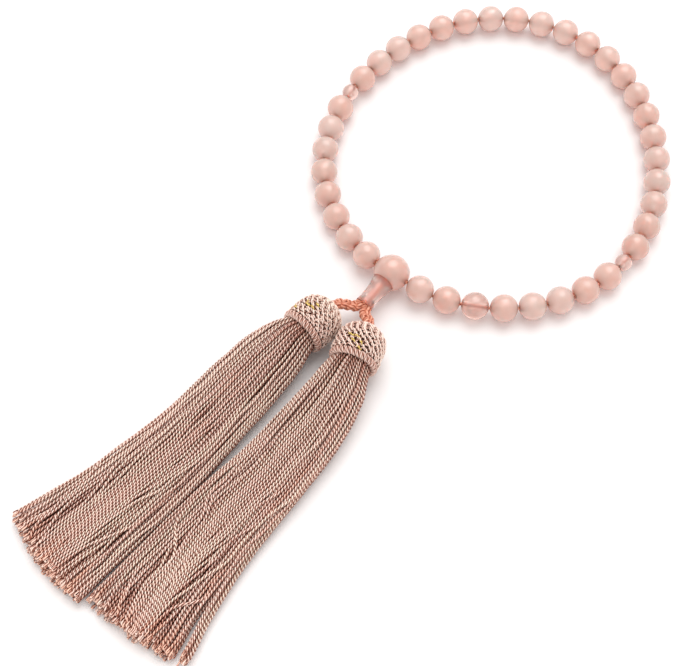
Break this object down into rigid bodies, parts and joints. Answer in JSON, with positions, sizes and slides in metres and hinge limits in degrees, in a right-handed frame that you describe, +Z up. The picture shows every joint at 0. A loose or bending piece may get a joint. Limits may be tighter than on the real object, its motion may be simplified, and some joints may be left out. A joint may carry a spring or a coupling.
{
  "type": "mala prayer beads",
  "caption": "Single loop of round rose quartz beads on a cord, with a larger parent bead, a cone-shaped boss bead and two silk tassels with woven net heads.",
  "frame": {"origin": "middle of the bead loop, on the plane that the mala rests on", "axes": "+Z up from the resting plane; -Y from the middle of the loop towards the parent bead and the tassels"},
  "size_m": [0.1077, 0.2332, 0.0144],
  "materials": {
    "rose_quartz": "polished milky translucent pink stone",
    "clear_quartz": "polished clearer pale pink stone",
    "loop_cord": "fine twisted silk cord",
    "braided_cord": "plaited silk cord",
    "silk_net": "knotted silk net with a few gold threads",
    "silk_strands": "twisted two-ply silk strands"
  },
  "bodies": {
    "front": {"cord_front": "loop_cord", "parent_bead": "rose_quartz"},
    "boss": {"boss_bead": "rose_quartz"},
    "left_link_1": {"cord_left_1": "loop_cord"},
    "right_link_1": {"cord_right_1": "loop_cord"},
    "left_link_2": {"cord_left_2": "loop_cord"},
    "right_link_2": {"cord_right_2": "loop_cord"},
    "left_link_3": {"cord_left_3": "loop_cord"},
    "right_link_3": {"cord_right_3": "loop_cord"},
    "left_link_4": {"cord_left_4": "loop_cord"},
    "right_link_4": {"cord_right_4": "loop_cord"},
    "back_link": {"cord_back": "loop_cord"},
    "left_cord": {"left_hanging_cord": "braided_cord"},
    "left_head": {"left_tassel_core": "silk_strands", "left_tassel_net": "silk_net"},
    "left_skirt": {"left_tassel_skirt": "silk_strands"},
    "right_cord": {"right_hanging_cord": "braided_cord"},
    "right_head": {"right_tassel_core": "silk_strands", "right_tassel_net": "silk_net"},
    "right_skirt": {"right_tassel_skirt": "silk_strands"},
    "main_bead_01": {"main_bead_01": "rose_quartz"},
    "main_bead_02": {"main_bead_02": "rose_quartz"},
    "main_bead_03": {"main_bead_03": "rose_quartz"},
    "main_bead_04": {"main_bead_04": "rose_quartz"},
    "main_bead_05": {"main_bead_05": "rose_quartz"},
    "main_bead_06": {"main_bead_06": "rose_quartz"},
    "main_bead_07": {"main_bead_07": "rose_quartz"},
    "main_bead_08": {"main_bead_08": "rose_quartz"},
    "small_bead_left": {"small_bead_left": "clear_quartz"},
    "main_bead_09": {"main_bead_09": "rose_quartz"},
    "main_bead_10": {"main_bead_10": "rose_quartz"},
    "main_bead_11": {"main_bead_11": "rose_quartz"},
    "main_bead_12": {"main_bead_12": "rose_quartz"},
    "main_bead_13": {"main_bead_13": "rose_quartz"},
    "main_bead_14": {"main_bead_14": "rose_quartz"},
    "main_bead_15": {"main_bead_15": "rose_quartz"},
    "main_bead_16": {"main_bead_16": "rose_quartz"},
    "main_bead_17": {"main_bead_17": "rose_quartz"},
    "main_bead_18": {"main_bead_18": "rose_quartz"},
    "main_bead_19": {"main_bead_19": "rose_quartz"},
    "main_bead_20": {"main_bead_20": "rose_quartz"},
    "main_bead_21": {"main_bead_21": "rose_quartz"},
    "main_bead_22": {"main_bead_22": "rose_quartz"},
    "main_bead_23": {"main_bead_23": "rose_quartz"},
    "main_bead_24": {"main_bead_24": "rose_quartz"},
    "main_bead_25": {"main_bead_25": "rose_quartz"},
    "main_bead_26": {"main_bead_26": "rose_quartz"},
    "main_bead_27": {"main_bead_27": "rose_quartz"},
    "main_bead_28": {"main_bead_28": "rose_quartz"},
    "main_bead_29": {"main_bead_29": "rose_quartz"},
    "small_bead_right": {"small_bead_right": "clear_quartz"},
    "main_bead_30": {"main_bead_30": "rose_quartz"},
    "main_bead_31": {"main_bead_31": "rose_quartz"},
    "main_bead_32": {"main_bead_32": "rose_quartz"},
    "main_bead_33": {"main_bead_33": "rose_quartz"},
    "main_bead_34": {"main_bead_34": "rose_quartz"},
    "main_bead_35": {"main_bead_35": "rose_quartz"},
    "main_bead_36": {"main_bead_36": "rose_quartz"},
    "main_bead_37": {"main_bead_37": "rose_quartz"}
  },
  "joints": [
    {"name": "loop_flex", "type": "hinge", "parent": "front", "child": "left_link_1", "pos_m": [-0.02111, -0.04787, 0.004], "axis": [0, 0, 1], "range_deg": [-13, 13]},
    {"name": "left_cord_swing", "type": "hinge", "parent": "front", "child": "left_cord", "pos_m": [-0.0015, -0.06684, 0.00525], "axis": [0, 0, -1], "range_deg": [0, 35]},
    {"name": "right_cord_swing", "type": "hinge", "parent": "front", "child": "right_cord", "pos_m": [0.0015, -0.06684, 0.00525], "axis": [0, 0, 1], "range_deg": [0, 35]},
    {"name": "left_tassel_lift", "type": "hinge", "parent": "left_cord", "child": "left_head", "pos_m": [-0.0061, -0.07184, 0.0072], "axis": [-0.9877, 0.1564, 0], "range_deg": [0, 40]},
    {"name": "right_tassel_lift", "type": "hinge", "parent": "right_cord", "child": "right_head", "pos_m": [0.0059, -0.07124, 0.0072], "axis": [-0.9659, -0.2588, 0], "range_deg": [0, 40]},
    {"name": "left_skirt_sway", "type": "hinge", "parent": "left_head", "child": "left_skirt", "pos_m": [-0.00807, -0.08429, 0.0072], "axis": [0, 0, -1], "range_deg": [0, 20]},
    {"name": "right_skirt_sway", "type": "hinge", "parent": "right_head", "child": "right_skirt", "pos_m": [0.00916, -0.08341, 0.0072], "axis": [0, 0, 1], "range_deg": [0, 20]},
    {"name": "left_flex_2", "type": "hinge", "parent": "left_link_1", "child": "left_link_2", "pos_m": [-0.0467, -0.01739, 0.004], "axis": [0, 0, 1], "range_deg": [-8.19, 8.19]},
    {"name": "left_flex_3", "type": "hinge", "parent": "left_link_2", "child": "left_link_3", "pos_m": [-0.04902, 0.004, 0.004], "axis": [0, 0, 1], "range_deg": [-12.56, 12.56]},
    {"name": "left_flex_4", "type": "hinge", "parent": "left_link_3", "child": "left_link_4", "pos_m": [-0.04319, 0.02776, 0.004], "axis": [0, 0, 1], "range_deg": [-6.35, 6.35]},
    {"name": "back_flex", "type": "hinge", "parent": "left_link_4", "child": "back_link", "pos_m": [-0.02057, 0.05059, 0.004], "axis": [0, 0, 1], "range_deg": [-12.87, 12.87]},
    {"name": "right_flex_1", "type": "hinge", "parent": "front", "child": "right_link_1", "pos_m": [0.02118, -0.04806, 0.004], "axis": [0, 0, 1], "range_deg": [-13.45, 13.45]},
    {"name": "right_flex_2", "type": "hinge", "parent": "right_link_1", "child": "right_link_2", "pos_m": [0.04859, -0.01916, 0.004], "axis": [0, 0, 1], "range_deg": [-7.96, 7.96]},
    {"name": "right_flex_3", "type": "hinge", "parent": "right_link_2", "child": "right_link_3", "pos_m": [0.05052, 0.00219, 0.004], "axis": [0, 0, 1], "range_deg": [-14.76, 14.76]},
    {"name": "right_flex_4", "type": "hinge", "parent": "right_link_3", "child": "right_link_4", "pos_m": [0.04203, 0.02511, 0.004], "axis": [0, 0, 1], "range_deg": [-3.58, 3.58]},
    {"name": "turn_boss_bead", "type": "hinge", "parent": "front", "child": "boss", "pos_m": [0, -0.06524, 0.00525], "axis": [0, -1, 0], "continuous": true},
    {"name": "turn_main_bead_01", "type": "hinge", "parent": "front", "child": "main_bead_01", "pos_m": [-0.00942, -0.05141, 0.00462], "axis": [-0.9717, 0.1802, -0.1524], "continuous": true},
    {"name": "turn_main_bead_02", "type": "hinge", "parent": "front", "child": "main_bead_02", "pos_m": [-0.01726, -0.04927, 0.004], "axis": [-0.9395, 0.3426, 0], "continuous": true},
    {"name": "turn_main_bead_03", "type": "hinge", "parent": "left_link_1", "child": "main_bead_03", "pos_m": [-0.02466, -0.04582, 0.004], "axis": [-0.8661, 0.4998, 0], "continuous": true},
    {"name": "turn_main_bead_04", "type": "hinge", "parent": "left_link_1", "child": "main_bead_04", "pos_m": [-0.03135, -0.04112, 0.004], "axis": [-0.7643, 0.6449, 0], "continuous": true},
    {"name": "turn_main_bead_05", "type": "hinge", "parent": "left_link_1", "child": "main_bead_05", "pos_m": [-0.0371, -0.03532, 0.004], "axis": [-0.6388, 0.7693, 0], "continuous": true},
    {"name": "turn_main_bead_06", "type": "hinge", "parent": "left_link_1", "child": "main_bead_06", "pos_m": [-0.04176, -0.02862, 0.004], "axis": [-0.4983, 0.867, 0], "continuous": true},
    {"name": "turn_main_bead_07", "type": "hinge", "parent": "left_link_1", "child": "main_bead_07", "pos_m": [-0.04525, -0.02122, 0.004], "axis": [-0.3531, 0.9356, 0], "continuous": true},
    {"name": "turn_main_bead_08", "type": "hinge", "parent": "left_link_2", "child": "main_bead_08", "pos_m": [-0.04757, -0.01338, 0.004], "axis": [-0.2125, 0.9772, 0], "continuous": true},
    {"name": "turn_small_bead_left", "type": "hinge", "parent": "left_link_2", "child": "small_bead_left", "pos_m": [-0.04872, -0.00679, 0.004], "axis": [-0.1046, 0.9945, 0], "continuous": true},
    {"name": "turn_main_bead_09", "type": "hinge", "parent": "left_link_2", "child": "main_bead_09", "pos_m": [-0.049, -0.0001, 0.004], "axis": [-0.004, 1, 0], "continuous": true},
    {"name": "turn_main_bead_10", "type": "hinge", "parent": "left_link_3", "child": "main_bead_10", "pos_m": [-0.04855, 0.00807, 0.004], "axis": [0.1145, 0.9934, 0], "continuous": true},
    {"name": "turn_main_bead_11", "type": "hinge", "parent": "left_link_3", "child": "main_bead_11", "pos_m": [-0.04712, 0.01613, 0.004], "axis": [0.2345, 0.9721, 0], "continuous": true},
    {"name": "turn_main_bead_12", "type": "hinge", "parent": "left_link_3", "child": "main_bead_12", "pos_m": [-0.04468, 0.02394, 0.004], "axis": [0.3615, 0.9324, 0], "continuous": true},
    {"name": "turn_main_bead_13", "type": "hinge", "parent": "left_link_4", "child": "main_bead_13", "pos_m": [-0.04116, 0.03132, 0.004], "axis": [0.4958, 0.8684, 0], "continuous": true},
    {"name": "turn_main_bead_14", "type": "hinge", "parent": "left_link_4", "child": "main_bead_14", "pos_m": [-0.03654, 0.03806, 0.004], "axis": [0.6321, 0.7749, 0], "continuous": true},
    {"name": "turn_main_bead_15", "type": "hinge", "parent": "left_link_4", "child": "main_bead_15", "pos_m": [-0.03083, 0.04389, 0.004], "axis": [0.7608, 0.649, 0], "continuous": true},
    {"name": "turn_main_bead_16", "type": "hinge", "parent": "left_link_4", "child": "main_bead_16", "pos_m": [-0.02414, 0.04857, 0.004], "axis": [0.8704, 0.4923, 0], "continuous": true},
    {"name": "turn_main_bead_17", "type": "hinge", "parent": "back_link", "child": "main_bead_17", "pos_m": [-0.01667, 0.05187, 0.004], "axis": [0.9503, 0.3115, 0], "continuous": true},
    {"name": "turn_main_bead_18", "type": "hinge", "parent": "back_link", "child": "main_bead_18", "pos_m": [-0.0087, 0.05363, 0.004], "axis": [0.9931, 0.1174, 0], "continuous": true},
    {"name": "turn_main_bead_19", "type": "hinge", "parent": "back_link", "child": "main_bead_19", "pos_m": [-0.00055, 0.05379, 0.004], "axis": [0.9971, -0.0767, 0], "continuous": true},
    {"name": "turn_main_bead_20", "type": "hinge", "parent": "back_link", "child": "main_bead_20", "pos_m": [0.0075, 0.05242, 0.004], "axis": [0.966, -0.2585, 0], "continuous": true},
    {"name": "turn_main_bead_21", "type": "hinge", "parent": "back_link", "child": "main_bead_21", "pos_m": [0.01519, 0.04964, 0.004], "axis": [0.9081, -0.4188, 0], "continuous": true},
    {"name": "turn_main_bead_22", "type": "hinge", "parent": "right_link_4", "child": "main_bead_22", "pos_m": [0.02233, 0.04566, 0.004], "axis": [0.8331, -0.5531, 0], "continuous": true},
    {"name": "turn_main_bead_23", "type": "hinge", "parent": "right_link_4", "child": "main_bead_23", "pos_m": [0.02882, 0.04068, 0.004], "axis": [0.75, -0.6614, 0], "continuous": true},
    {"name": "turn_main_bead_24", "type": "hinge", "parent": "right_link_4", "child": "main_bead_24", "pos_m": [0.03461, 0.0349, 0.004], "axis": [0.6635, -0.7482, 0], "continuous": true},
    {"name": "turn_main_bead_25", "type": "hinge", "parent": "right_link_4", "child": "main_bead_25", "pos_m": [0.03968, 0.02847, 0.004], "axis": [0.5726, -0.8199, 0], "continuous": true},
    {"name": "turn_main_bead_26", "type": "hinge", "parent": "right_link_3", "child": "main_bead_26", "pos_m": [0.04396, 0.02149, 0.004], "axis": [0.4712, -0.8821, 0], "continuous": true},
    {"name": "turn_main_bead_27", "type": "hinge", "parent": "right_link_3", "child": "main_bead_27", "pos_m": [0.04734, 0.01404, 0.004], "axis": [0.3522, -0.9359, 0], "continuous": true},
    {"name": "turn_main_bead_28", "type": "hinge", "parent": "right_link_3", "child": "main_bead_28", "pos_m": [0.04965, 0.00619, 0.004], "axis": [0.2121, -0.9773, 0], "continuous": true},
    {"name": "turn_main_bead_29", "type": "hinge", "parent": "right_link_2", "child": "main_bead_29", "pos_m": [0.05073, -0.00191, 0.004], "axis": [0.0523, -0.9986, 0], "continuous": true},
    {"name": "turn_small_bead_right", "type": "hinge", "parent": "right_link_2", "child": "small_bead_right", "pos_m": [0.05072, -0.00859, 0.004], "axis": [-0.0878, -0.9961, 0], "continuous": true},
    {"name": "turn_main_bead_30", "type": "hinge", "parent": "right_link_2", "child": "main_bead_30", "pos_m": [0.04954, -0.01517, 0.004], "axis": [-0.2314, -0.9728, 0], "continuous": true},
    {"name": "turn_main_bead_31", "type": "hinge", "parent": "right_link_1", "child": "main_bead_31", "pos_m": [0.04694, -0.02291, 0.004], "axis": [-0.4024, -0.9155, 0], "continuous": true},
    {"name": "turn_main_bead_32", "type": "hinge", "parent": "right_link_1", "child": "main_bead_32", "pos_m": [0.043, -0.03007, 0.004], "axis": [-0.5587, -0.8294, 0], "continuous": true},
    {"name": "turn_main_bead_33", "type": "hinge", "parent": "right_link_1", "child": "main_bead_33", "pos_m": [0.03787, -0.03642, 0.004], "axis": [-0.6932, -0.7207, 0], "continuous": true},
    {"name": "turn_main_bead_34", "type": "hinge", "parent": "right_link_1", "child": "main_bead_34", "pos_m": [0.03174, -0.04182, 0.004], "axis": [-0.8026, -0.5965, 0], "continuous": true},
    {"name": "turn_main_bead_35", "type": "hinge", "parent": "right_link_1", "child": "main_bead_35", "pos_m": [0.02481, -0.04616, 0.004], "axis": [-0.8866, -0.4626, 0], "continuous": true},
    {"name": "turn_main_bead_36", "type": "hinge", "parent": "front", "child": "main_bead_36", "pos_m": [0.0173, -0.04938, 0.004], "axis": [-0.9466, -0.3223, 0], "continuous": true},
    {"name": "turn_main_bead_37", "type": "hinge", "parent": "front", "child": "main_bead_37", "pos_m": [0.00943, -0.05142, 0.00462], "axis": [-0.9726, -0.1753, 0.1524], "continuous": true}
  ],
  "couplings": [
    {"joint": "left_flex_2", "follows": "loop_flex", "ratio": -0.62802},
    {"joint": "left_flex_3", "follows": "loop_flex", "ratio": -0.9638},
    {"joint": "left_flex_4", "follows": "loop_flex", "ratio": -0.48659},
    {"joint": "back_flex", "follows": "loop_flex", "ratio": 0.98711},
    {"joint": "right_flex_1", "follows": "loop_flex", "ratio": -1.0315},
    {"joint": "right_flex_2", "follows": "loop_flex", "ratio": 0.61046},
    {"joint": "right_flex_3", "follows": "loop_flex", "ratio": 1.1321},
    {"joint": "right_flex_4", "follows": "loop_flex", "ratio": 0.27423}
  ]
}
